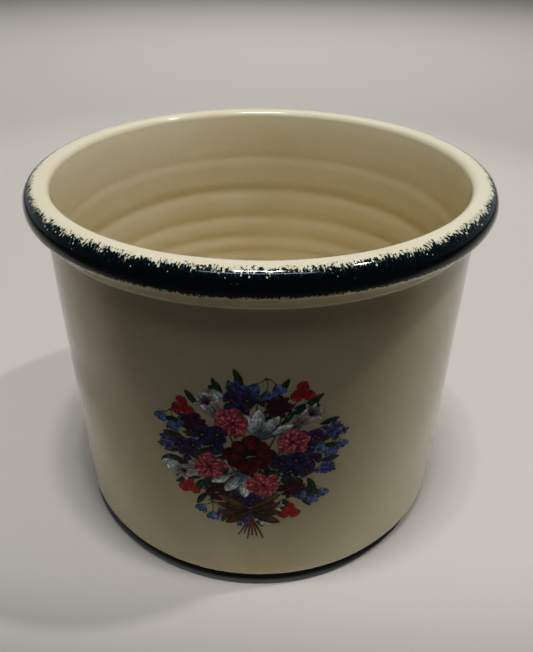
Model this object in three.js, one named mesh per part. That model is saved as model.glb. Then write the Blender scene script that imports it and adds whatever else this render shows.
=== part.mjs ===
// A straight-sided stoneware butter crock with a rolled rim, in millimetres, +Z up.
// The origin is the centre of the plane that the foot rests on, and the bouquet faces -Y.
// The crock is one fired piece, so its nodes are the layers that a potter puts on in turn:
// the thrown clay, the glaze inside and outside, the sponged rim band and the fired-on transfer.
import * as THREE from "three";

// Driving dimensions: the finished surfaces, glaze included.
const crockHeight = 133;
const rimRadius = 81.5;
const wallRadius = 75.9;
const boreRadius = 71.3;
const floorHeight = 9.5;

// Rolled rim: a bead round the outside of the mouth, and a rounded lip on the inside.
// Under the bead a straight slope leads in to the wall, which starts at rimDepth below the top.
const beadHalfWidth = 4.85;
const beadHalfHeight = 5.3;
const beadEndAngle = -40;
const rimDepth = 13.6;
const mouthRadius = 72.5;
const lipRadius = 2.6;
const flareHeight = 16;

// Inside corner between wall and floor, and the eased outer edge at the heel.
const cornerRadius = 7;
const heelHeight = 4.7;
const heelDrop = 4.2;
const heelInset = 0.9;

// Bare foot, set back under the heel, with a shallow recess inside its resting ring.
const footRadius = 69.8;
const footShoulder = 2;
const footRingWidth = 8;
const footRecess = 2;
const footChamfer = 0.6;

// Layers: glaze and sponged colour fused to the clay, and the bouquet's transfer film.
const glazeThickness = 0.5;
const layerGap = 0.02;
const bandTopAngle = 65;
const bandBottomAngle = -25;
const bandSeamAngle = 0.15;
const transferHalfWidth = 34.5;
const transferHalfHeight = 39;
const transferMiddleHeight = 62.6;
const transferThickness = 0.15;
const transferGap = 0.12;

// How finely the round surfaces are divided.
const roundSegments = 72;
const beadStep = 20;
const smallArcSteps = 3;
const transferRings = 5;
const transferSegments = 36;

const beadMiddleRadius = rimRadius - beadHalfWidth;
const beadMiddleHeight = crockHeight - beadHalfHeight;
const clayOffset = glazeThickness + layerGap;

const point = (radius, height) => new THREE.Vector2(radius, height);

// A point of an ellipse in the profile plane. Angle 0 points away from the axis, and 90 points up.
function ellipsePoint(middle, halfWidth, halfHeight, degrees) {
  const angle = THREE.MathUtils.degToRad(degrees);
  return point(middle.x + halfWidth * Math.cos(angle), middle.y + halfHeight * Math.sin(angle));
}

// A quarter round, as profile points from one angle to another.
function quarterArc(middle, halfWidth, halfHeight, fromDegrees, toDegrees) {
  const points = [];
  for (let step = 0; step <= smallArcSteps; step += 1) {
    const degrees = THREE.MathUtils.lerp(fromDegrees, toDegrees, step / smallArcSteps);
    points.push(ellipsePoint(middle, halfWidth, halfHeight, degrees));
  }
  return points;
}

function beadPoint(offset, degrees) {
  const middle = point(beadMiddleRadius, beadMiddleHeight);
  return ellipsePoint(middle, beadHalfWidth - offset, beadHalfHeight - offset, degrees);
}

// The bead's surface, sunk by offset, from one angle down to a lower one.
// Every layer turns at the same whole steps, so that one layer never cuts into the next.
function beadArc(offset, fromDegrees, toDegrees) {
  const turns = [fromDegrees];
  const firstStep = Math.ceil(fromDegrees / beadStep) * beadStep - beadStep;
  for (let degrees = firstStep; degrees > toDegrees; degrees -= beadStep) turns.push(degrees);
  turns.push(toDegrees);
  return turns.map((degrees) => beadPoint(offset, degrees));
}

// Where the slope under the bead meets the wall. Every layer has the same slope.
function neckPoint(offset) {
  const end = beadPoint(0, beadEndAngle);
  const slope = (end.y - (crockHeight - rimDepth)) / (end.x - wallRadius);
  const start = beadPoint(offset, beadEndAngle);
  const radius = wallRadius - offset;
  return point(radius, start.y - (start.x - radius) * slope);
}

// The inside surface, sunk by offset, from the middle of the floor up to the rim's top.
function insideOutline(offset) {
  const corner = point(boreRadius - cornerRadius, floorHeight + cornerRadius);
  const lip = point(mouthRadius + lipRadius, crockHeight - lipRadius);
  return [
    point(0, floorHeight - offset),
    ...quarterArc(corner, cornerRadius + offset, cornerRadius + offset, -90, 0),
    point(boreRadius + offset, crockHeight - lipRadius - flareHeight),
    ...quarterArc(lip, lipRadius - offset, lipRadius - offset, 180, 90),
  ];
}

// The outside surface of the heel, sunk by offset, where the straight wall ends and turns under.
function heelOutline(offset) {
  const heel = point(wallRadius - heelInset - glazeThickness, heelHeight + heelDrop);
  const halfWidth = heelInset + glazeThickness - offset;
  return quarterArc(heel, halfWidth, heelDrop - offset, 0, -90);
}

// The bare foot's surface, from under the heel to the axis. The recess slopes in at 45 degrees.
function footOutline() {
  const ringInside = footRadius - footRingWidth;
  return [
    point(footRadius + footShoulder, heelHeight + clayOffset),
    point(footRadius, heelHeight),
    point(footRadius, footChamfer),
    point(footRadius - footChamfer, 0),
    point(ringInside, 0),
    point(ringInside - footRecess, footRecess),
    point(0, footRecess),
  ];
}

// A closed solid of revolution about +Z, from an outline that runs anticlockwise round the material.
function revolved(outline) {
  const geometry = new THREE.LatheGeometry(outline, roundSegments);
  return geometry.rotateX(Math.PI / 2);
}

// A layer of glaze between a surface and the same surface sunk by the glaze's thickness.
// A layer that stops short of the axis is closed by going back to its first point.
function glazeLayer(outlineAt) {
  const outline = [...outlineAt(glazeThickness), ...outlineAt(0).reverse()];
  if (outline[0].x > 0) outline.push(outline[0]);
  return revolved(outline);
}

function stonewareBody() {
  const outline = [
    ...insideOutline(clayOffset),
    ...beadArc(clayOffset, 90, beadEndAngle),
    neckPoint(clayOffset),
    ...heelOutline(clayOffset),
    ...footOutline(),
  ];
  return revolved(outline.reverse());
}

function linerGlaze() {
  return glazeLayer((offset) => [
    ...insideOutline(offset),
    ...beadArc(offset, 90, bandTopAngle + bandSeamAngle),
  ]);
}

function rimSpongeBand() {
  return glazeLayer((offset) =>
    beadArc(offset, bandTopAngle - bandSeamAngle, bandBottomAngle + bandSeamAngle),
  );
}

function outerGlaze() {
  return glazeLayer((offset) => [
    ...beadArc(offset, bandBottomAngle - bandSeamAngle, beadEndAngle),
    neckPoint(offset),
    ...heelOutline(offset),
  ]);
}

// An oval film, made flat and one unit thick, then bent round the wall so that its width follows it.
function bouquetTransfer() {
  const back = [];
  for (let ring = 0; ring <= transferRings; ring += 1) back.push(point(ring / transferRings, 0));
  const face = back.map((spot) => point(spot.x, 1)).reverse();
  const film = new THREE.LatheGeometry([...back, ...face], transferSegments);
  const place = film.getAttribute("position");
  const backRadius = wallRadius + transferGap;
  for (let i = 0; i < place.count; i += 1) {
    const angle = (place.getX(i) * transferHalfWidth) / backRadius;
    const height = transferMiddleHeight - place.getZ(i) * transferHalfHeight;
    const radius = backRadius + place.getY(i) * transferThickness;
    place.setXYZ(i, radius * Math.sin(angle), -radius * Math.cos(angle), height);
  }
  film.computeVertexNormals();
  return film;
}

const bareClay = new THREE.MeshStandardMaterial({ color: 0xb9a078, roughness: 0.85 });
const creamLiner = new THREE.MeshStandardMaterial({ color: 0xded2ac, roughness: 0.18 });
const creamOutside = new THREE.MeshStandardMaterial({ color: 0xd8cba6, roughness: 0.2 });
const darkSponge = new THREE.MeshStandardMaterial({ color: 0x0e2227, roughness: 0.2 });
const transferColour = new THREE.MeshStandardMaterial({ color: 0x7a4a63, roughness: 0.25 });

const crock = new THREE.Group();

function addPiece(name, geometry, material) {
  const mesh = new THREE.Mesh(geometry, material);
  mesh.name = name;
  crock.add(mesh);
}

addPiece("stoneware_body", stonewareBody(), bareClay);
addPiece("liner_glaze", linerGlaze(), creamLiner);
addPiece("rim_sponge_band", rimSpongeBand(), darkSponge);
addPiece("outer_glaze", outerGlaze(), creamOutside);
addPiece("bouquet_transfer", bouquetTransfer(), transferColour);

export default crock;
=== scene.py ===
import math

import bpy
import numpy as np
from mathutils import Matrix, Vector


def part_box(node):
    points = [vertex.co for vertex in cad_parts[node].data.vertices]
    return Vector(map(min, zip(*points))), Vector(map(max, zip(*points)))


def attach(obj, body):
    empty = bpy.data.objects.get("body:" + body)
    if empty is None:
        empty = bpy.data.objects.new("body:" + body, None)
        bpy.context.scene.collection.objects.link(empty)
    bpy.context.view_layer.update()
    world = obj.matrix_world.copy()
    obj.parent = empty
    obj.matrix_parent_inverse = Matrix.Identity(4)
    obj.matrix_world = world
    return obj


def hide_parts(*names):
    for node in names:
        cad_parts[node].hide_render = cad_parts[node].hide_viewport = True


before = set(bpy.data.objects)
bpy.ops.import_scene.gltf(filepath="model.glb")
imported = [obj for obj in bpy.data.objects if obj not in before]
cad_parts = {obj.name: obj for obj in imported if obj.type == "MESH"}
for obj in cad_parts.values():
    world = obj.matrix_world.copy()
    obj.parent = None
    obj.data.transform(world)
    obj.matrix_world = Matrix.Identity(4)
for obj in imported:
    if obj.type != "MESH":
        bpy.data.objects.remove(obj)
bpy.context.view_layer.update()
mm = 0.001
print("stage: frame loaded,", len(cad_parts), "nodes")

# The crock's main sizes, read off the boxes of its layers.
clayLow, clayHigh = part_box("stoneware_body")
linerLow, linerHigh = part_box("liner_glaze")
bandLow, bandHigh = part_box("rim_sponge_band")
outerLow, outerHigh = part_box("outer_glaze")
filmLow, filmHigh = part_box("bouquet_transfer")
print("stage: clay measured,", round((clayHigh.z - clayLow.z) / mm, 1), "mm tall")

glaze = dict(
    thickness=0.5 * mm,
    filmStandsProud=0.27 * mm,   # outer face of the transfer above the wall
    liftOfBand=0.05 * mm,        # the dabbed colour above the cream
    liftOfPrint=0.12 * mm,
    backShare=0.9,               # how deep the backs of the cream pieces lie in the glaze
    ripples=95,                  # soft ripples to the metre, on the cream and the print
)

crock = dict(
    rimTop=linerHigh.z,
    rimRadius=bandHigh.x,
    wallRadius=-filmLow.y - glaze["filmStandsProud"],
    floorTop=linerLow.z + glaze["thickness"],
    heel=outerLow.z,
    boreRadius=71.3 * mm,
    beadHalfWidth=4.85 * mm,
    beadHalfHeight=5.3 * mm,
    beadStart=84,                # degrees round the bead, from the lip's round
    beadEnd=-40,                 # and to where a slope leads in to the wall
    rimDepth=13.6 * mm,          # the wall starts this far below the top
    neckBend=2 * mm,
    mouthRadius=72.5 * mm,
    lipRadius=2.6 * mm,
    flare=16 * mm,               # how far under the lip the bore starts to open
    flareCurve=1.6,
    flareSteps=10,
    cornerRadius=7 * mm,
    heelDrop=4.2 * mm,
    heelInset=0.9 * mm,
    turns=288,                   # steps round the wheel
    coreTurns=180,               # and for the clay under the glaze
    wallSteps=40,
    fineBend=10,                 # steps in a rounded corner, where it shows and where it doesn't
    plainBend=4,
    weld=0.002 * mm,             # points closer than this become one
)
crock["beadRadius"] = crock["rimRadius"] - crock["beadHalfWidth"]
crock["beadHeight"] = crock["rimTop"] - crock["beadHalfHeight"]


def clearSelection():
    if bpy.context.mode != "OBJECT":
        bpy.ops.object.mode_set(mode="OBJECT")
    bpy.ops.object.select_all(action="DESELECT")


def applyModifier(piece, kind, **settings):
    modifier = piece.modifiers.new(kind.title(), kind)
    for name, value in settings.items():
        setattr(modifier, name, value)
    bpy.ops.object.modifier_apply(modifier=modifier.name)


def throwOnWheel(name, outline, turns):
    # draws the outline point by point from one vertex, then spins it round the axis
    clearSelection()
    first = outline[0]
    bpy.ops.mesh.primitive_plane_add(size=mm, location=(first[0], 0, first[1]))
    piece = bpy.context.object
    piece.name = name
    piece.data.name = name
    bpy.ops.object.transform_apply(location=True, rotation=True, scale=True)
    bpy.ops.object.mode_set(mode="EDIT")
    bpy.ops.mesh.merge(type="CENTER")
    for here, there in zip(outline, outline[1:]):
        step = (there[0] - here[0], 0, there[1] - here[1])
        bpy.ops.mesh.extrude_region_move(TRANSFORM_OT_translate={"value": step})
    bpy.ops.mesh.select_all(action="SELECT")
    bpy.ops.mesh.spin(steps=turns, angle=2 * math.pi, center=(0, 0, 0), axis=(0, 0, 1))
    bpy.ops.mesh.select_all(action="SELECT")
    bpy.ops.mesh.remove_doubles(threshold=crock["weld"])
    bpy.ops.mesh.normals_make_consistent(inside=False)
    bpy.ops.object.mode_set(mode="OBJECT")
    return piece


def coordinatesOf(piece):
    spots = np.empty(len(piece.data.vertices) * 3)
    piece.data.vertices.foreach_get("co", spots)
    return spots.reshape(-1, 3)


def smoothOver(piece, degrees=50):
    clearSelection()
    piece.select_set(True)
    bpy.context.view_layer.objects.active = piece
    bpy.ops.object.shade_smooth_by_angle(angle=math.radians(degrees))


# The outline of the crock, as points of radius and height.
def arc(middle, halfWidth, halfHeight, start, end, steps):
    turns = [math.radians(start + (end - start) * i / steps) for i in range(steps + 1)]
    return [(middle[0] + halfWidth * math.cos(t), middle[1] + halfHeight * math.sin(t)) for t in turns]


rings = dict(
    topRing=113 * mm,            # height of the first finger ring under the rim
    pitch=16.8 * mm,             # gap to the next ring down
    closing=0.8,                 # each gap over the one above it, down to the least gap
    leastGap=8 * mm,
    groove=2.7 * mm,             # half the width of a ring's groove
    depth=0.36 * mm,
    floorPitch=11 * mm,
    floorDepth=0.16 * mm,
    step=1.1 * mm,               # how finely the wall is drawn
    nearBore=0.3 * mm,           # what lies this near the bore belongs to the wall
)


def ringHeights():
    heights = [rings["topRing"]]
    gap = rings["pitch"]
    while heights[-1] - gap > crock["floorTop"] + crock["cornerRadius"]:
        heights.append(heights[-1] - gap)
        gap = max(gap * rings["closing"], rings["leastGap"])
    return heights


def ringDepth(height):
    # 0 in the groove of a finger ring and 1 on the wall between two
    nearest = min(abs(height - groove) for groove in ringHeights())
    return 1 - math.exp(-(nearest / rings["groove"]) ** 2)


def boreWall():
    low = crock["floorTop"] + crock["cornerRadius"]
    high = crock["rimTop"] - crock["lipRadius"] - crock["flare"]
    count = round((high - low) / rings["step"])
    heights = [low + (high - low) * i / count for i in range(1, count)]
    return [(crock["boreRadius"] - rings["depth"] * ringDepth(h), h) for h in heights]


def boreFloor():
    reach = crock["boreRadius"] - crock["cornerRadius"]
    count = round(reach / rings["step"])
    points = []
    for i in range(count):
        radius = reach * i / count
        fade = 1 - (radius / reach) ** 6
        swirl = math.cos(2 * math.pi * radius / rings["floorPitch"]) * fade
        points.append((radius, crock["floorTop"] + rings["floorDepth"] * swirl))
    return points


def flareOfMouth(sunk):
    # the bore opens in a soft curve up to the lip
    top = crock["rimTop"] - crock["lipRadius"]
    points = []
    for i in range(crock["flareSteps"]):
        share = i / crock["flareSteps"]
        opened = (crock["mouthRadius"] - crock["boreRadius"]) * share ** crock["flareCurve"]
        points.append((crock["boreRadius"] + sunk + opened, top - crock["flare"] * (1 - share)))
    return points


def insideOutline(sunk, fine):
    steps = crock["fineBend"] if fine else crock["plainBend"]
    corner = (crock["boreRadius"] - crock["cornerRadius"], crock["floorTop"] + crock["cornerRadius"])
    bend = crock["cornerRadius"] + sunk
    lip = (crock["mouthRadius"] + crock["lipRadius"], crock["rimTop"] - crock["lipRadius"])
    lipBend = crock["lipRadius"] - sunk
    middle = boreFloor() if fine else [(0, crock["floorTop"] - sunk)]
    wall = boreWall() if fine else []
    return [
        *middle,
        *arc(corner, bend, bend, -90, 0, steps),
        *wall,
        *flareOfMouth(sunk),
        *arc(lip, lipBend, lipBend, 180, 90, steps),
    ]


def beadOutline(sunk, start, end, steps):
    middle = (crock["beadRadius"], crock["beadHeight"])
    halfWidth = crock["beadHalfWidth"] - sunk
    halfHeight = crock["beadHalfHeight"] - sunk
    return arc(middle, halfWidth, halfHeight, start, end, steps)


def neckOutline(sunk, steps):
    # the slope under the bead, as the soft bend by which it runs in to the wall
    end = beadOutline(0, crock["beadEnd"], crock["beadEnd"], 1)[0]
    start = beadOutline(sunk, crock["beadEnd"], crock["beadEnd"], 1)[0]
    lean = math.atan2(end[0] - crock["wallRadius"], end[1] - crock["rimTop"] + crock["rimDepth"])
    wall = crock["wallRadius"] - sunk
    corner = start[1] - (start[0] - wall) / math.tan(lean)
    bend = crock["neckBend"] + sunk
    middle = (wall + bend, corner - bend * math.tan(lean / 2))
    return arc(middle, bend, bend, 180 - math.degrees(lean), 180, steps)


def heelOutline(sunk, steps):
    radius = crock["wallRadius"] - crock["heelInset"] - glaze["thickness"]
    middle = (radius, crock["heel"] + crock["heelDrop"])
    reach = crock["heelInset"] + glaze["thickness"] - sunk
    return arc(middle, reach, crock["heelDrop"] - sunk, 0, -90, steps)


# Slow waves in thrown clay, the same field for every layer.
waves = dict(size=34 * mm, height=0.35 * mm)


def handThrown(piece):
    texture = bpy.data.textures.get("throwingWaves")
    if texture is None:
        texture = bpy.data.textures.new("throwingWaves", "CLOUDS")
        texture.noise_scale = waves["size"]
        texture.noise_depth = 1
    applyModifier(
        piece, "DISPLACE", texture=texture, texture_coords="LOCAL",
        strength=waves["height"], mid_level=0.5,
    )


class Wire:
    tree = None                  # the node tree that the recipe fills

    def __init__(self, socket):
        self.socket = socket

    @classmethod
    def node(cls, kind, settings=None, inputs=None, output=0):
        made = cls.tree.nodes.new(kind)
        for name, value in (settings or {}).items():
            setattr(made, name, value)
        for name, value in (inputs or {}).items():
            if isinstance(value, Wire):
                cls.tree.links.new(value.socket, made.inputs[name])
            else:
                made.inputs[name].default_value = value
        return cls(made.outputs[output])

    @classmethod
    def maths(cls, operation, *values):
        return cls.node("ShaderNodeMath", {"operation": operation}, dict(enumerate(values)))

    def __add__(self, other):
        return self.maths("ADD", self, other)

    __radd__ = __add__

    def __sub__(self, other):
        return self.maths("SUBTRACT", self, other)

    def __rsub__(self, other):
        return self.maths("SUBTRACT", other, self)

    def __mul__(self, other):
        return self.maths("MULTIPLY", self, other)

    __rmul__ = __mul__

    def __truediv__(self, other):
        return self.maths("DIVIDE", self, other)


def place():
    return Wire.node("ShaderNodeTexCoord", output="Object")


def axesOf(vector):
    split = vector.node("ShaderNodeSeparateXYZ", inputs={0: vector}).socket.node
    return [Wire(split.outputs[i]) for i in range(3)]


def joined(x, y, z):
    return Wire.node("ShaderNodeCombineXYZ", inputs={0: x, 1: y, 2: z})


def noise(vector, perMetre, detail=2.0, roughness=0.5):
    settings = {"noise_dimensions": "3D"}
    inputs = {"Vector": vector, "Scale": perMetre, "Detail": detail, "Roughness": roughness}
    return Wire.node("ShaderNodeTexNoise", settings, inputs, "Fac")


def spread(value, low, high, start=0.0, end=1.0):
    # maps low..high to start..end with soft ends, and holds outside
    settings = {"interpolation_type": "SMOOTHSTEP"}
    inputs = {"Value": value, "From Min": low, "From Max": high, "To Min": start, "To Max": end}
    return Wire.node("ShaderNodeMapRange", settings, inputs)


def mixed(mask, under, over, blend="MIX"):
    settings = {"data_type": "RGBA", "blend_type": blend}
    inputs = {0: mask, 6: under, 7: over}
    return Wire.node("ShaderNodeMix", settings, inputs, 2)


def bump(height, distance):
    inputs = {"Height": height, "Distance": distance, "Strength": 1.0}
    return Wire.node("ShaderNodeBump", inputs=inputs)


def newMaterial(name):
    material = bpy.data.materials.new(name)
    material.use_nodes = True
    material.node_tree.nodes.clear()
    Wire.tree = material.node_tree
    return material


def finishMaterial(material, piece, **inputs):
    names = {key.replace("_", " "): value for key, value in inputs.items()}
    surface = Wire.node("ShaderNodeBsdfPrincipled", inputs=names)
    output = Wire.tree.nodes.new("ShaderNodeOutputMaterial")
    Wire.tree.links.new(surface.socket, output.inputs["Surface"])
    piece.data.materials.clear()
    piece.data.materials.append(material)


def colour(r, g, b):
    return (r, g, b, 1.0)


cream = dict(
    plain=colour(0.68, 0.638, 0.485),
    thick=colour(0.66, 0.60, 0.435),
    thin=colour(0.56, 0.465, 0.30),
    fleck=colour(0.10, 0.065, 0.035),
    # painted shade: the outside cream is darkened as the shaded wall, the inside is darkened and warmed
    # under the rim as shade and warm bounce light
    outside=colour(0.81, 0.77, 0.715),
    inside=colour(0.95, 0.905, 0.885),
    roughness=0.09,
    dulling=0.06,                # added where the glaze is mottled
    clouds=22,                   # marks of each kind to the metre
    mottles=330,
    holes=150,
    peel=620,
    holeShare=0.05,              # how many of the cells hold a pinhole
    peelShare=0.12,
    mottleWear=0.22,             # how far the thin colour shows through
    # painted shade: how much of the thin colour is laid in the ring grooves
    grooveShade=0.16,
    insideShadeFrom=9 * mm,             # the inner painted shade starts and is full this far under the rim's top
    insideShadeFull=2 * mm,
    relief=0.09 * mm,
)


def pinholes(at, perMetre, share, small=0.02, large=0.055):
    # sparse dots: a few cells hold one dot each, small to large as a share of the cell
    cells = Wire.node("ShaderNodeTexVoronoi", inputs={"Vector": at, "Scale": perMetre})
    chance = Wire(cells.socket.node.outputs["Color"])
    lot = Wire.node("ShaderNodeSeparateColor", inputs={0: chance})
    size = Wire(lot.socket.node.outputs[1]) * (large - small) + small
    chosen = Wire.maths("LESS_THAN", lot, share)
    return spread(cells, size * 1.5, size * 0.6) * chosen


def creamGlaze(name, piece, grooves=None):
    material = newMaterial(name)
    at = place()
    height = axesOf(at)[2]
    top = crock["rimTop"]
    # painted shade: inside, the glaze below the rim is darkened and warmed; outside, the whole wall's
    # glaze is darkened
    where = spread(height, top - cream["insideShadeFrom"], top - cream["insideShadeFull"], 1, 0) if grooves else 1.0
    tint = cream["inside"] if grooves else cream["outside"]
    cloud = noise(at, cream["clouds"], 3)
    mottle = noise(at, cream["mottles"], 4, 0.6)
    body = mixed(spread(cloud, 0.35, 0.7), cream["plain"], cream["thick"])
    # random thin mottles, and inside also painted shade in the ring grooves
    mottleAndGrooveShade = spread(mottle, 0.5, 0.85) * cream["mottleWear"]
    if grooves:
        depth = Wire.node("ShaderNodeAttribute", {"attribute_name": grooves}, output="Fac")
        mottleAndGrooveShade = mottleAndGrooveShade + depth * cream["grooveShade"]
    body = mixed(mottleAndGrooveShade, body, cream["thin"])
    body = mixed(where, body, tint, "MULTIPLY")
    dots = pinholes(at, cream["holes"], cream["holeShare"])
    body = mixed(dots * 0.8, body, cream["fleck"])
    dullest = cream["roughness"] + cream["dulling"]
    gloss = spread(mottle, 0.3, 0.8, cream["roughness"], dullest) + dots * 0.3
    peel = noise(at, cream["peel"], 1) * cream["peelShare"]
    ripple = noise(at, glaze["ripples"], 2) + peel - dots * 0.9
    finishMaterial(
        material, piece, Base_Color=body, Roughness=gloss, IOR=1.5,
        Normal=bump(ripple, cream["relief"]),
    )


# Fired clay: foot, underside and the core under the glaze.
foot = dict(
    radius=69.8 * mm,
    shoulder=2 * mm,
    ringWidth=8 * mm,
    recess=2 * mm,
    chamfer=0.7 * mm,
    grit=0.12 * mm,
    grains=900,                  # marks of each kind to the metre
    toasts=45,
    irons=420,
    ironShare=0.2,
    buff=colour(0.44, 0.33, 0.20),
    toasted=colour(0.35, 0.235, 0.13),
    pale=colour(0.60, 0.50, 0.36),
    iron=colour(0.05, 0.03, 0.02),
    footShadow=colour(0.045, 0.03, 0.02),    # painted shadow: near-black on the foot's outer side, in the gap under the heel
    footShadowFrom=2.5 * mm,           # it starts and is full this far in from that side
    footShadowFull=1 * mm,
)


def footOutline():
    inner = foot["radius"] - foot["ringWidth"]
    chamfer = (foot["radius"] - foot["chamfer"], foot["chamfer"])
    slope = [(inner - foot["recess"] * i / 4, foot["recess"] * (i / 4) ** 1.5) for i in range(5)]
    middle = [(slope[-1][0] * (1 - i / 14), foot["recess"]) for i in range(1, 15)]
    return [
        (foot["radius"] + foot["shoulder"], crock["heel"] + glaze["thickness"]),
        (foot["radius"] + 0.25 * foot["shoulder"], crock["heel"]),
        (foot["radius"], crock["heel"] - foot["chamfer"]),
        *arc(chamfer, foot["chamfer"], foot["chamfer"], 0, -90, 5),
        (inner + 0.5 * foot["ringWidth"], 0),
        (inner + foot["chamfer"], 0),
        *slope,
        *middle,
    ]


def makeClay():
    sunk = glaze["thickness"]
    outline = [
        *insideOutline(sunk, False),
        *beadOutline(sunk, crock["beadStart"], crock["beadEnd"], 12),
        *neckOutline(sunk, 4),
        *heelOutline(sunk, 6),
        *footOutline(),
    ]
    piece = throwOnWheel("thrown_clay", outline, crock["coreTurns"])
    smoothOver(piece, 35)
    material = newMaterial("bareStoneware")
    at = place()
    grain = noise(at, foot["grains"], 5, 0.7)
    toast = noise(at, foot["toasts"], 3)
    body = mixed(spread(toast, 0.35, 0.7), foot["buff"], foot["toasted"])
    body = mixed(spread(grain, 0.55, 0.8) * 0.6, body, foot["pale"])
    iron = pinholes(at, foot["irons"], foot["ironShare"])
    body = mixed(iron, body, foot["iron"])
    x, y = axesOf(at)[:2]
    radius = Wire.maths("SQRT", x * x + y * y)
    # painted shadow: the foot's outer side turns near-black, as the shade in the gap under the heel
    footShadow = spread(radius, foot["radius"] - foot["footShadowFrom"], foot["radius"] - foot["footShadowFull"])
    body = mixed(footShadow * spread(grain, 0.2, 0.4, 0.85, 1), body, foot["footShadow"])
    finishMaterial(
        material, piece, Base_Color=body, Roughness=spread(grain, 0.2, 0.8, 0.7, 0.95),
        Normal=bump(grain - iron * 0.5, foot["grit"]),
    )
    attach(piece, "root")
    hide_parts("stoneware_body")
    return piece


# Cream glaze, inside over the lip and outside down to the heel.
seam = dict(angle=18)            # the two creams meet here, under the dark band


def makeLiner():
    sunk = glaze["thickness"] * glaze["backShare"]
    start = crock["beadStart"]
    back = [*insideOutline(sunk, False), *beadOutline(sunk, start, seam["angle"], 6)]
    outline = [
        *insideOutline(0, True),
        *beadOutline(0, start, seam["angle"], 14),
        *reversed(back),
    ]
    piece = throwOnWheel("cream_liner", outline, crock["turns"])
    handThrown(piece)
    smoothOver(piece)
    markGrooves(piece)
    creamGlaze("creamLinerGlaze", piece, "groove")
    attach(piece, "root")
    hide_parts("liner_glaze")
    return piece


def markGrooves(piece):
    # marks the grooves of the finger rings, where darker colour is laid as painted shade
    spots = coordinatesOf(piece)
    groove = np.zeros(len(spots))
    radius = np.hypot(spots[:, 0], spots[:, 1])
    low = crock["floorTop"] + crock["cornerRadius"]
    high = crock["rimTop"] - crock["lipRadius"] - crock["flare"]
    onWall = (spots[:, 2] > low) & (spots[:, 2] < high)
    onWall &= radius < crock["boreRadius"] + rings["nearBore"]
    groove[onWall] = [1 - ringDepth(h) for h in spots[onWall, 2]]
    layer = piece.data.attributes.new("groove", "FLOAT", "POINT")
    layer.data.foreach_set("value", groove)


def makeOutside():
    sunk = glaze["thickness"] * glaze["backShare"]
    top = neckOutline(0, 1)[-1][1]
    bottom = crock["heel"] + crock["heelDrop"]
    count = crock["wallSteps"]
    straight = [(crock["wallRadius"], top + (bottom - top) * i / count) for i in range(1, count)]
    back = [
        *beadOutline(sunk, seam["angle"], crock["beadEnd"], 6),
        *neckOutline(sunk, 3),
        *heelOutline(sunk, 5),
    ]
    outline = [
        *beadOutline(0, seam["angle"], crock["beadEnd"], 12),
        *neckOutline(0, 6),
        *straight,
        *heelOutline(0, 10),
        *reversed(back),
    ]
    outline.append(outline[0])
    piece = throwOnWheel("cream_outside", outline, crock["turns"])
    handThrown(piece)
    smoothOver(piece)
    creamGlaze("creamOutsideGlaze", piece)
    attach(piece, "root")
    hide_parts("outer_glaze")
    return piece


# Dark colour dabbed round the rim with a sponge.
dabs = dict(
    top=84,                      # the colour's shell, in degrees round the bead
    bottom=-39,
    upperEdge=75,                # where the colour runs out, above and below
    lowerEdge=-28,
    upperFeather=1.5 * mm,
    lowerFeather=0.7 * mm,
    poreSize=0.62 * mm,          # the sponge's pores, and the blots of one dab
    poreLength=1.7,              # how much longer a pore's mark is across the bead
    blotSize=5 * mm,
    missSize=1.5 * mm,           # one spot in such a cell may be missed
    missShare=0.6,
    missSmall=0.1,               # the least and the most of a cell that such a spot takes
    missLarge=0.24,
    missFrom=-5,                 # spots are rare below the first angle, and common above the next
    missTo=40,
    missLeast=0.35,
    fullest=2.4,                 # the most colour that one dab leaves
    poreWeight=5.5,              # how strongly each mark tells
    blotWeight=2,
    missWeight=2.0,
    relief=0.08 * mm,
    steps=26,
    thin=colour(0.018, 0.043, 0.053),
    thick=colour(0.0028, 0.008, 0.0115),
    roughness=0.075,
)


def makeBand():
    lift = -glaze["liftOfBand"]
    outline = beadOutline(lift, dabs["top"], dabs["bottom"], dabs["steps"])
    piece = throwOnWheel("sponged_band", outline, crock["turns"])
    handThrown(piece)
    smoothOver(piece)
    material = newMaterial("spongedColour")
    x, y, z = axesOf(place())
    radius = Wire.maths("SQRT", x * x + y * y)
    angle = Wire.maths("ARCTAN2", z - crock["beadHeight"], radius - crock["beadRadius"])
    across = angle * crock["beadHalfWidth"]
    ringX = x / radius * crock["rimRadius"]
    ringY = y / radius * crock["rimRadius"]
    onRing = joined(ringX, ringY, across)
    pores = noise(joined(ringX, ringY, across / dabs["poreLength"]), 1 / dabs["poreSize"], 2, 0.6)
    blots = noise(onRing, 1 / dabs["blotSize"], 2)
    missed = pinholes(
        onRing, 1 / dabs["missSize"], dabs["missShare"], dabs["missSmall"], dabs["missLarge"],
    )
    missFrom, missTo = math.radians(dabs["missFrom"]), math.radians(dabs["missTo"])
    missed = missed * spread(angle, missFrom, missTo, dabs["missLeast"], 1)
    upper = (math.radians(dabs["upperEdge"]) - angle) * (crock["beadHalfWidth"] / dabs["upperFeather"])
    lower = (angle - math.radians(dabs["lowerEdge"])) * (crock["beadHalfWidth"] / dabs["lowerFeather"])
    inside = Wire.maths("MINIMUM", Wire.maths("MINIMUM", upper, lower), dabs["fullest"])
    coverage = inside + (pores - 0.5) * dabs["poreWeight"] + (blots - 0.5) * dabs["blotWeight"]
    coverage = coverage - missed * dabs["missWeight"]
    mask = spread(coverage, -0.1, 0.9)
    body = mixed(spread(coverage, 0.2, 2.0), dabs["thin"], dabs["thick"])
    finishMaterial(
        material, piece, Base_Color=body, Roughness=dabs["roughness"], IOR=1.42, Alpha=mask,
        Normal=bump(noise(place(), 150, 2), dabs["relief"]),
    )
    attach(piece, "root")
    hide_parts("rim_sponge_band")
    return piece


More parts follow.
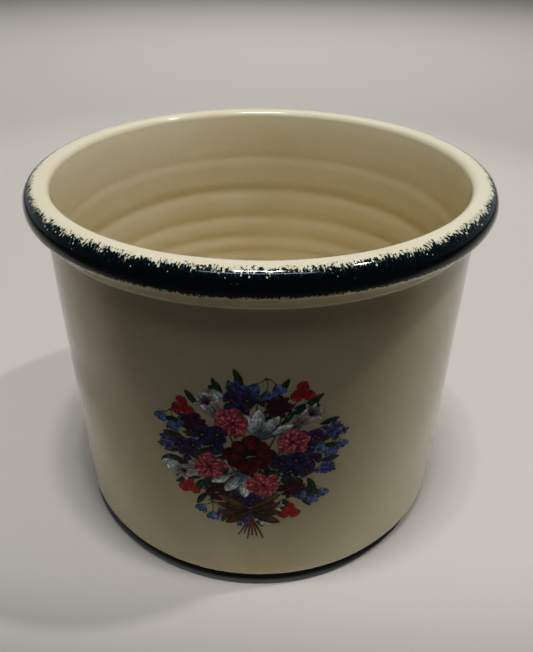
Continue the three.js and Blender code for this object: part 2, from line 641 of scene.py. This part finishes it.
# The fired-on transfer: inks for the bouquet, as shares of light that they give back.
inks = dict(
    crimson=(0.27, 0.006, 0.016),
    wine=(0.055, 0.002, 0.007),
    scarlet=(0.48, 0.022, 0.025),
    rose=(0.55, 0.035, 0.075),
    blush=(0.88, 0.47, 0.46),
    maroon=(0.105, 0.008, 0.038),
    white=(0.90, 0.90, 0.86),
    dove=(0.36, 0.42, 0.46),
    slate=(0.11, 0.14, 0.17),
    violet=(0.11, 0.065, 0.23),
    plum=(0.022, 0.009, 0.055),
    lilac=(0.23, 0.22, 0.55),
    blue=(0.11, 0.18, 0.45),
    sky=(0.34, 0.46, 0.64),
    indigo=(0.055, 0.052, 0.17),
    navy=(0.010, 0.012, 0.036),
    green=(0.05, 0.12, 0.045),
    moss=(0.012, 0.035, 0.018),
    teal=(0.04, 0.16, 0.13),
    fern=(0.15, 0.23, 0.10),
    brown=(0.20, 0.085, 0.032),
    bark=(0.045, 0.017, 0.010),
    tan=(0.48, 0.29, 0.11),
    gold=(0.72, 0.44, 0.05),
    stem=(0.26, 0.11, 0.06),
)


def ink(name, strength=1.0):
    return np.array(inks[name]) * strength


def onward(x, y, degrees, length):
    turn = math.radians(degrees)
    return x + length * math.cos(turn), y + length * math.sin(turn)


class Print:
    # inks laid one over another on a flat sheet, in mm from its middle
    softEdge = 0.16
    pressed = 0.97               # how much of a petal's ink takes
    veinDepth = 0.22             # how much darker the veins, the edge and the base are
    edgeDepth = 0.3
    baseDepth = 0.15
    strokeSteps = 17

    def __init__(self, across, up, seed):
        self.across = across
        self.up = up
        self.colour = np.zeros((len(up), len(across), 3))
        self.cover = np.zeros((len(up), len(across)))
        self.chance = np.random.default_rng(seed)

    def vary(self, low, high):
        return self.chance.uniform(low, high)

    def near(self, x, y, reach):
        left, right = np.searchsorted(self.across, (x - reach, x + reach))
        low, high = np.searchsorted(self.up, (y - reach, y + reach))
        return slice(low, high), slice(left, right)

    def turned(self, where, x, y, degrees):
        turn = math.radians(degrees)
        right = self.across[None, where[1]] - x
        up = self.up[where[0], None] - y
        along = right * math.cos(turn) + up * math.sin(turn)
        aside = up * math.cos(turn) - right * math.sin(turn)
        return along, aside

    def lay(self, where, mask, colour):
        cover = mask + self.cover[where] * (1 - mask)
        share = mask / np.maximum(cover, 1e-6)
        self.colour[where] += (np.clip(colour, 0, 1) - self.colour[where]) * share[..., None]
        self.cover[where] = cover

    def petal(
        self, x, y, degrees, length, width, base, tip, belly=0.6, curl=0.0, veins=4.0, light=0.15,
    ):
        # a pointed oval that leaves x, y, widest at belly, with veins along it and a darker edge
        where = self.near(x, y, length * (1 + abs(curl)) + width)
        along, aside = self.turned(where, x, y, degrees)
        share = np.clip(along / length, 0, 1)
        aside = aside - curl * length * share ** 2
        bulge = math.log(0.5) / math.log(belly)
        half = width / 2 * np.sin(math.pi * share ** bulge) ** 0.7 + 1e-4
        mask = np.clip((half - abs(aside)) / self.softEdge + 0.5, 0, 1) * ((share > 0) & (share < 1))
        side = np.clip(aside / half, -1, 1)
        start = self.vary(0, 6)
        grain = np.sin(side * veins * 2 + np.sin(share * 4 + start) + start)
        shade = 1 + self.veinDepth * grain - self.edgeDepth * side ** 2
        shade = shade - self.baseDepth * (1 - share) ** 2 + light * side
        colour = (base + (tip - base) * share[..., None]) * shade[..., None]
        self.lay(where, mask * self.pressed, colour)

    def line(self, start, end, width, colour, bow=0.0, taper=0.3, cover=0.95):
        # a stroke that bows to one side and thins towards its end
        start, end = np.array(start, float), np.array(end, float)
        span = end - start
        normal = np.array((-span[1], span[0]))
        middle = (start + end) / 2
        reach = np.hypot(*span) * (0.5 + abs(bow)) + width
        where = self.near(*middle, reach)
        right = self.across[None, where[1]]
        up = self.up[where[0], None]
        shares = np.linspace(0, 1, self.strokeSteps)
        spots = [start + span * s + normal * bow * 4 * s * (1 - s) for s in shares]
        mask = np.zeros(np.broadcast(right, up).shape)
        for share, here, there in zip(shares, spots, spots[1:]):
            leg = there - here
            t = ((right - here[0]) * leg[0] + (up - here[1]) * leg[1]) / (leg @ leg + 1e-9)
            t = np.clip(t, 0, 1)
            gap = np.hypot(right - here[0] - leg[0] * t, up - here[1] - leg[1] * t)
            half = width / 2 * (1 - (1 - taper) * share)
            mask = np.maximum(mask, np.clip((half - gap) / self.softEdge + 0.5, 0, 1))
        self.lay(where, mask * cover, np.broadcast_to(colour, mask.shape + (3,)))

    def watercolour(self, size, strength):
        # the ink lies unevenly, in grains of about this size
        field = self.chance.normal(size=self.cover.shape)
        reach = max(1, round(size / (self.across[1] - self.across[0])))
        for axis in (0, 1):
            for _ in range(2):
                field = sum(np.roll(field, step, axis) for step in range(-reach, reach + 1))
        self.colour *= np.clip(1 + strength * field / field.std(), 0.3, 1.8)[..., None]

    def dot(self, x, y, radius, colour, cover=0.95):
        where = self.near(x, y, radius + 1)
        along, aside = self.turned(where, x, y, 0)
        mask = np.clip((radius - np.hypot(along, aside)) / self.softEdge + 0.5, 0, 1) * cover
        self.lay(where, mask, np.broadcast_to(colour, mask.shape + (3,)))

    def leaf(self, x, y, degrees, length, width, base, tip, curl=0.1):
        self.petal(x, y, degrees, length, width, base, tip, 0.5, curl, 7, 0.3)
        lean = degrees + math.degrees(math.atan(curl))
        rib = onward(x, y, lean, length * 0.92)
        self.line((x, y), rib, width * 0.09, tip * 1.5 + 0.02, -curl / 4, 0.3, 0.7)

    def poppy(self, x, y, radius):
        rings = (
            (8, 1.0, 0.66, ink("wine", 0.7), ink("crimson", 0.62)),
            (7, 0.84, 0.7, ink("wine", 0.4), ink("crimson", 0.85)),
            (6, 0.62, 0.66, ink("wine", 0.3), ink("crimson", 1.25)),
        )
        for ring, (count, reach, breadth, base, tip) in enumerate(rings):
            for i in range(count):
                degrees = 360 * i / count + ring * 34 + self.vary(-9, 9)
                length = radius * reach * self.vary(0.86, 1.06)
                curl = self.vary(-0.1, 0.1)
                self.petal(x, y, degrees, length, length * breadth, base, tip, 0.68, curl, 7, 0.38)
                fold = onward(x, y, degrees - 16, length * 0.9)
                self.line((x, y), fold, 0.5, base * 0.5, 0.05, 0.2, 0.75)
        for i in range(26):
            tip = onward(x, y, self.vary(0, 360), radius * self.vary(0.3, 0.66))
            self.line((x, y), tip, 0.3, ink("wine", 0.6), 0, 0.3, 0.7)
        self.dot(x, y, radius * 0.2, ink("navy"))
        for i in range(22):
            tip = onward(x, y, self.vary(0, 360), radius * self.vary(0.2, 0.36))
            self.line((x, y), tip, 0.28, ink("navy"), 0, 0.7)
            self.dot(*tip, 0.24, ink("plum"))
        self.line((x - 0.8, y - 0.7), (x + 1.9, y - 0.2), 0.7, ink("gold", 0.8), 0.12)
        self.dot(x - 0.3, y + 0.5, 0.5, ink("moss"))

    def carnation(self, x, y, radius, dark, pale):
        for ring, (count, reach) in enumerate(((13, 1.0), (10, 0.74), (7, 0.5), (4, 0.3))):
            for i in range(count):
                degrees = 360 * i / count + self.vary(-12, 12)
                length = radius * reach * self.vary(0.82, 1.1)
                base = dark * (0.35 + 0.25 * ring)
                tip = dark + (pale - dark) * 0.3
                curl = self.vary(-0.2, 0.2)
                self.petal(x, y, degrees, length, length * 0.55 + 0.3, base, tip, 0.8, curl, 3, 0.2)
                edge = onward(x, y, degrees, length * 0.95)
                self.line(edge, onward(x, y, degrees + 12, length * 0.66), 0.3, pale, 0.1, 0.3, 0.8)
        self.dot(x, y, radius * 0.1, dark * 0.3)

    def pansy(self, x, y, radius, degrees, base, petal):
        for lean, reach in ((62, 1.0), (118, 1.0), (5, 0.95), (175, 0.95), (270, 1.05)):
            length = radius * reach
            self.petal(x, y, degrees + lean, length, radius * 0.95, base, petal, 0.7, 0, 3, 0.12)
        for lean in range(0, 360, 30):
            tip = onward(x, y, degrees + lean, radius * self.vary(0.35, 0.55))
            self.line((x, y), tip, 0.4, base * 0.4, 0, 0.2, 0.85)
        self.dot(x, y, radius * 0.09, ink("gold"))

    def floret(self, x, y, radius, base, tip, petals=5):
        start = self.vary(0, 360)
        for i in range(petals):
            self.petal(x, y, start + 360 * i / petals, radius, radius * 0.62, base, tip, 0.6, 0, 2, 0.2)
        self.dot(x, y, radius * 0.16, ink("navy"), 0.7)

    def bell(self, x, y, degrees, length, base, tip):
        # hangs from x, y: a rounded crown that opens to three pointed lips
        for lean, curl in ((-15, -0.16), (15, 0.16), (0, 0)):
            self.petal(x, y, degrees + lean, length, length * 0.5, base, tip, 0.58, curl, 3, 0.25)
            self.line((x, y), onward(x, y, degrees + lean, length * 0.6), 0.24, base * 0.4, 0, 0.2, 0.7)
        self.dot(*onward(x, y, degrees, length * 0.8), length * 0.09, ink("indigo"), 0.8)

    def snowdrop(self, x, y, degrees, length):
        base, tip = ink("dove"), ink("white")
        for lean, curl in ((-20, -0.1), (20, 0.1), (0, 0)):
            self.petal(x, y, degrees + lean, length, length * 0.46, base, tip, 0.62, curl, 2.5, 0.12)
            self.dot(*onward(x, y, degrees + lean, length * 0.86), 0.26, ink("green"), 0.75)
        self.dot(x, y, length * 0.14, ink("green"))

    def trumpet(self, x, y, degrees, length, dark, pale):
        for lean, curl in ((-7, -0.05), (7, 0.05), (0, 0)):
            self.petal(x, y, degrees + lean, length, length * 0.15, dark, pale, 0.72, curl, 3, 0.3)
        mouth = onward(x, y, degrees, length * 0.84)
        for lean in (-66, -34, -6, 28, 62):
            curl = 0.15 * lean / 60
            lip, breadth = length * 0.32, length * 0.12
            self.petal(*mouth, degrees + lean, lip, breadth, dark, pale, 0.5, curl, 3, 0.2)
            vein = onward(*mouth, degrees + lean, length * 0.26)
            self.line(mouth, vein, 0.28, dark * 0.7, 0, 0.3, 0.8)
        for lean in (-7, -3, 1, 4, 8):
            stripe = onward(x, y, degrees + lean, length * 0.8)
            self.line((x, y), stripe, 0.34, dark * 0.7, 0, 0.6, 0.75)
        self.dot(*mouth, length * 0.06, dark * 0.4)

    def tulip(self, x, y, degrees, length):
        base, tip = ink("slate", 1.2), ink("white")
        for lean, reach, breadth, curl in (
            (36, 0.84, 0.3, 0.1),
            (-32, 0.96, 0.26, -0.12),
            (18, 0.96, 0.34, 0.04),
            (-12, 0.9, 0.34, 0.0),
        ):
            along, aside = length * reach, length * breadth
            self.petal(x, y, degrees + lean, along, aside, base, tip, 0.62, curl, 6, 0.4)
            edge = onward(x, y, degrees + lean - 9, along * 0.86)
            self.line((x, y), edge, 0.5, ink("slate"), -0.05, 0.3, 0.8)
        for lean in (-22, -14, -8, -1, 5, 12, 19, 27, 36):
            tip = onward(x, y, degrees + lean, length * self.vary(0.45, 0.8))
            self.line((x, y), tip, 0.4, ink("slate"), 0.03, 0.1, 0.7)


posy = dict(
    x=0,
    y=3,                         # the bouquet's middle, in mm from the film's
    wide=29,
    tall=31,                     # how far out the outermost flowers stand
    knot=(0, -25),
    leaves=120,
    outer=18,
    inner=13,
    blooms=8,
    heart=8.6,
    stemReach=0.86,              # how far out each ring stands, as a share of the reach
    leafReach=0.82,
    edgeReach=0.9,
    innerReach=0.66,
    bloomReach=0.46,
    middleLeaves=24,             # the dark leaves stay within this of the middle
)


def ringOf(art, count, share, start=0):
    # places spread round the bouquet at a share of its reach, each with the way outwards
    for i in range(count):
        outward = start + 360 * i / count + art.vary(-5, 5)
        turn = math.radians(outward)
        reach = share * art.vary(0.93, 1.07)
        x = posy["x"] + posy["wide"] * reach * math.cos(turn)
        y = posy["y"] + posy["tall"] * reach * math.sin(turn)
        yield i, x, y, outward


def paintStems(art):
    knot = posy["knot"]
    for i, x, y, outward in ringOf(art, posy["outer"], posy["stemReach"]):
        bow = 0.1 * math.cos(math.radians(outward))
        art.line(knot, (x, y), 0.55, ink("green", 0.8), bow, 0.5)
    for i in range(6):
        foot = onward(*knot, 247 + 9 * i, art.vary(9, 12))
        art.line(knot, foot, 0.75, ink("stem"), 0.02, 0.6)
        art.line(knot, foot, 0.2, ink("bark"), 0.02, 0.6, 0.6)


def paintGreens(art):
    # dark leaves fill the middle, and look out all round the edge
    pairs = (
        (ink("moss"), ink("green")),
        (ink("moss"), ink("teal", 0.6)),
        (ink("moss", 0.7), ink("fern", 0.6)),
    )
    for i in range(posy["leaves"]):
        around = art.vary(0, 360)
        out = posy["middleLeaves"] * art.vary(0.1, 1) ** 0.6
        x, y = onward(posy["x"], posy["y"], around, out)
        lean = around + art.vary(-45, 45)
        art.leaf(x, y, lean, art.vary(4, 8), art.vary(1.4, 2.6), *pairs[i % 3], art.vary(-0.2, 0.2))
    for i, x, y, outward in ringOf(art, posy["outer"], posy["leafReach"], 10):
        art.leaf(x, y, outward + art.vary(-25, 25), art.vary(6, 9), 2.1, *pairs[i % 2], 0.12)


def paintEdge(art):
    # blue bells, lilac sprays, white drops and small red flowers by turns
    for i, x, y, _ in ringOf(art, posy["outer"], posy["edgeReach"]):
        kind = i % 4
        if kind == 0:
            for aside, drop in ((-2.6, 0), (0.2, 2.6), (2.8, 0.4)):
                lean = 268 + 9 * aside
                art.line((x, y + 3.4), (x + aside, y + 1.6 - drop), 0.3, ink("green"), 0.1)
                art.bell(x + aside, y + 1.6 - drop, lean, 4.4, ink("sky", 0.7), ink("blue"))
        elif kind == 1:
            for _ in range(11):
                spot = onward(x, y, art.vary(0, 360), art.vary(0, 4))
                art.floret(*spot, art.vary(1.2, 1.9), ink("indigo"), ink("lilac"), 4)
        elif kind == 2:
            for lean in (240, 290):
                art.snowdrop(*onward(x, y, lean + 180, 2), lean, 5.6)
        else:
            for lean in (90, 210, 330):
                spot = onward(x, y, lean, 2.1)
                art.carnation(*spot, 2.0, ink("scarlet", 0.8), ink("scarlet", 1.3) + 0.03)


def paintInner(art):
    for i, x, y, outward in ringOf(art, posy["inner"], posy["innerReach"], 14):
        if i % 3 == 0:
            for lean in (30, 150, 270):
                spot = onward(x, y, lean, 2.6)
                art.pansy(*spot, 3.1, art.vary(-30, 30), ink("plum"), ink("violet"))
        elif i % 3 == 1:
            art.trumpet(*onward(x, y, outward, -8), outward, 14, ink("maroon"), ink("white", 0.8))
        else:
            for lean in (0, 72, 144, 216, 288):
                spot = onward(x, y, lean + outward, 2.4)
                art.floret(*spot, 2.4, ink("maroon", 0.7), ink("maroon", 1.5), 5)
    for lean in (162, 188, 214, 326, 352, 18):
        x, y = onward(*posy["knot"], 90, 2.5)
        art.leaf(x, y, lean, art.vary(10, 12), 3.8, ink("bark"), ink("brown"), 0.08)
    for lean in (150, 30):
        x, y = onward(*posy["knot"], 90, 4)
        art.leaf(x, y, lean, 12, 3.4, ink("bark"), ink("tan", 0.6), 0.06)


def paintHeart(art):
    # pink and white blooms by turns, round one dark red flower
    for i, x, y, outward in ringOf(art, posy["blooms"], posy["bloomReach"], 22):
        if i % 2 == 0:
            art.carnation(x, y, 5.7, ink("rose", art.vary(0.8, 1.05)), ink("blush"))
        elif i % 4 == 1:
            art.tulip(*onward(x, y, outward, -6.5), outward, 13)
        else:
            for lean in (40, 160, 280):
                spot = onward(x, y, lean, 2.8)
                art.pansy(*spot, 3.8, art.vary(-30, 30), ink("plum", 0.8), ink("indigo", 1.2))
    art.poppy(posy["x"], posy["y"], posy["heart"])


def paintBouquet(across, up):
    art = Print(across, up, film["seed"])
    paintStems(art)
    paintGreens(art)
    paintEdge(art)
    paintInner(art)
    paintHeart(art)
    for size, strength in film["blotches"]:
        art.watercolour(size, strength)
    return art


film = dict(
    halfWidth=34.5 * mm,
    halfHeight=39 * mm,
    middle=(filmLow.z + filmHigh.z) / 2,
    grain=0.225 * mm,            # how fine the print is
    squareness=2.5,              # 2 is an oval, more is squarer
    roughness=0.12,
    relief=0.09 * mm,
    blotches=((0.45, 0.16), (0.2, 0.14)),    # size and strength of the ink's unevenness
    seed=7,
)


def selectBeyondOval(piece):
    spots = coordinatesOf(piece)
    right = abs(spots[:, 0]) / film["halfWidth"]
    up = abs(spots[:, 2]) / film["halfHeight"]
    beyond = right ** film["squareness"] + up ** film["squareness"] > 1
    bpy.ops.object.mode_set(mode="EDIT")
    bpy.ops.mesh.select_mode(type="VERT")
    bpy.ops.mesh.select_all(action="DESELECT")
    bpy.ops.object.mode_set(mode="OBJECT")
    piece.data.vertices.foreach_set("select", beyond)


def printOn(piece):
    # each point of the sheet takes the ink that was laid on it
    spots = coordinatesOf(piece) / film["grain"]
    column = np.rint(spots[:, 0] - spots[:, 0].min()).astype(int)
    row = np.rint(spots[:, 2] - spots[:, 2].min()).astype(int)
    step = film["grain"] / mm
    across = (np.arange(column.max() + 1) - column.max() / 2) * step
    up = (np.arange(row.max() + 1) - row.max() / 2) * step
    art = paintBouquet(across, up)
    printed = np.ones((len(spots), 4))
    printed[:, :3] = art.colour[row, column]
    printed[:, 3] = art.cover[row, column]
    layer = piece.data.attributes.new("print", "FLOAT_COLOR", "POINT")
    layer.data.foreach_set("color", printed.astype(np.float32).ravel())


def makeTransfer():
    # a flat grid is printed, cut to an oval, bent to the wall and pushed on to it
    clearSelection()
    columns = 2 * round(film["halfWidth"] / film["grain"])
    rows = 2 * round(film["halfHeight"] / film["grain"])
    bpy.ops.mesh.primitive_grid_add(x_subdivisions=columns, y_subdivisions=rows, size=1)
    piece = bpy.context.object
    piece.name = "flower_transfer"
    piece.data.name = "flower_transfer"
    piece.scale = (columns * film["grain"], rows * film["grain"], 1)
    piece.rotation_euler = (math.pi / 2, 0, 0)
    bpy.ops.object.transform_apply(location=True, rotation=True, scale=True)
    printOn(piece)
    selectBeyondOval(piece)
    bpy.ops.object.mode_set(mode="EDIT")
    bpy.ops.mesh.delete(type="VERT")
    bpy.ops.object.mode_set(mode="OBJECT")
    radius = crock["wallRadius"] + glaze["liftOfPrint"]
    bend = piece.dimensions.x / radius
    applyModifier(piece, "SIMPLE_DEFORM", deform_method="BEND", deform_axis="Z", angle=bend)
    bpy.ops.object.mode_set(mode="EDIT")
    bpy.ops.mesh.select_all(action="SELECT")
    bpy.ops.transform.translate(value=(0, -radius, film["middle"]))
    bpy.ops.object.mode_set(mode="OBJECT")
    handThrown(piece)
    smoothOver(piece)
    material = newMaterial("firedPrint")
    shade = Wire.node("ShaderNodeAttribute", {"attribute_name": "print"}, output="Color")
    cover = Wire(shade.socket.node.outputs["Alpha"])
    finishMaterial(
        material, piece, Base_Color=shade, Alpha=cover, Roughness=film["roughness"], IOR=1.38,
        Normal=bump(noise(place(), glaze["ripples"], 2), film["relief"]),
    )
    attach(piece, "root")
    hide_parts("bouquet_transfer")
    return piece


camera = dict(
    away=217.2 * mm,             # level distance from the crock's axis
    height=206.1 * mm,
    round=2.6,                   # degrees to the right of the bouquet's middle
    heading=1.99,
    down=33.1,
    roll=0.52,
    lens=34.55,
)


def makeCamera():
    turn = math.radians(camera["round"])
    spot = Vector((camera["away"] * math.sin(turn), -camera["away"] * math.cos(turn), camera["height"]))
    bpy.ops.object.camera_add(location=spot)
    eye = bpy.context.object
    eye.name = "camera"
    aim = Matrix.Rotation(math.radians(camera["heading"]), 4, "Z")
    aim = aim @ Matrix.Rotation(math.radians(90 - camera["down"]), 4, "X")
    aim = aim @ Matrix.Rotation(math.radians(camera["roll"]), 4, "Z")
    eye.matrix_world = Matrix.Translation(spot) @ aim
    eye.data.lens = camera["lens"]
    eye.data.clip_start = 10 * mm
    bpy.context.scene.camera = eye


studio = dict(
    ceiling=1.35,                # height of the ceiling lamps
    bulb=0.03,
    row=dict(
        spots=((-0.11, -0.145), (-0.03, -0.145), (0.045, -0.145), (0.1, -0.145)),
        power=10.2, aim=(0, 0.83, 0), cone=70, blend=0.1,
    ),
    side=dict(spots=((0.62, 0.06),), power=22, aim=(0, 0.15, 0), cone=35, blend=0.6),
    warm=(1.0, 0.955, 0.89),
    cool=(0.80, 0.90, 1.0),
    backPanel=dict(spot=(0, 1.15, 1.35), target=(0, 1.15, 0), sides=(1.6, 0.8), power=5, spread=90),
    coolPanel=dict(spot=(0, -0.55, 1.5), target=(0, 0, 0), sides=(1.0, 0.2), power=3, spread=180),
    floor=colour(0.52, 0.505, 0.48),
    floorSize=6,
    floorRoughness=0.55,
    air=colour(0.80, 0.83, 0.86),
    airBright=0.45,              # low down behind the crock
    airDark=0.045,               # overhead and in front of it
    airBack=(-0.7, 0.6),         # the brightness changes between these shares of the way back and up
    airUp=(0.6, 0.15),
    exposure=-0.05,
    tone=((0, 0), (0.024, 0.010), (0.050, 0.030), (0.093, 0.080), (0.18, 0.20), (0.495, 0.55), (1, 1)),
)


def hangSpot(name, x, y):
    kind = studio[name]
    spot = Vector((x, y, studio["ceiling"]))
    aim = (Vector(kind["aim"]) - spot).to_track_quat("-Z", "Y").to_euler()
    bpy.ops.object.light_add(type="SPOT", location=spot, rotation=aim)
    lamp = bpy.context.object
    lamp.name = name + "_spot"
    lamp.data.shadow_soft_size = studio["bulb"]
    lamp.data.spot_size = math.radians(kind["cone"])
    lamp.data.spot_blend = kind["blend"]
    lamp.data.energy = kind["power"]
    lamp.data.color = studio["warm"]


def hangPanel(name, panel, tint):
    aim = (Vector(panel["target"]) - Vector(panel["spot"])).to_track_quat("-Z", "Y").to_euler()
    bpy.ops.object.light_add(type="AREA", location=panel["spot"], rotation=aim)
    lamp = bpy.context.object
    lamp.name = name
    lamp.data.shape = "RECTANGLE"
    lamp.data.size, lamp.data.size_y = panel["sides"]
    lamp.data.energy = panel["power"]
    lamp.data.color = tint
    lamp.data.spread = math.radians(panel["spread"])


def makeStudio():
    for name in ("row", "side"):
        for spot in studio[name]["spots"]:
            hangSpot(name, *spot)
    hangPanel("back_panel", studio["backPanel"], studio["warm"])
    hangPanel("cool_panel", studio["coolPanel"], studio["cool"])
    scene = bpy.context.scene
    scene.world = bpy.data.worlds.new("studioAir")
    scene.world.use_nodes = True
    Wire.tree = scene.world.node_tree
    air = Wire.tree.nodes["Background"]
    air.inputs["Color"].default_value = studio["air"]
    back, up = axesOf(Wire.node("ShaderNodeTexCoord", output="Generated"))[1:]
    bright = spread(back, *studio["airBack"]) * spread(up, *studio["airUp"])
    strength = bright * (studio["airBright"] - studio["airDark"]) + studio["airDark"]
    Wire.tree.links.new(strength.socket, air.inputs["Strength"])
    scene.view_settings.view_transform = "Standard"
    scene.view_settings.exposure = studio["exposure"]
    scene.view_settings.use_curve_mapping = True
    tone = scene.view_settings.curve_mapping
    for point in studio["tone"][1:-1]:
        tone.curves[3].points.new(*point)
    tone.update()
    clearSelection()
    bpy.ops.mesh.primitive_plane_add(size=studio["floorSize"])
    floor = bpy.context.object
    floor.name = "floor"
    material = newMaterial("paleFloor")
    finishMaterial(material, floor, Base_Color=studio["floor"], Roughness=studio["floorRoughness"])


makeCamera()
makeStudio()
print("stage: camera, light and floor")
makeClay()
makeLiner()
makeOutside()
print("stage: clay and cream glazes")
makeBand()
print("stage: sponged band")
makeTransfer()
print("stage: printed bouquet")
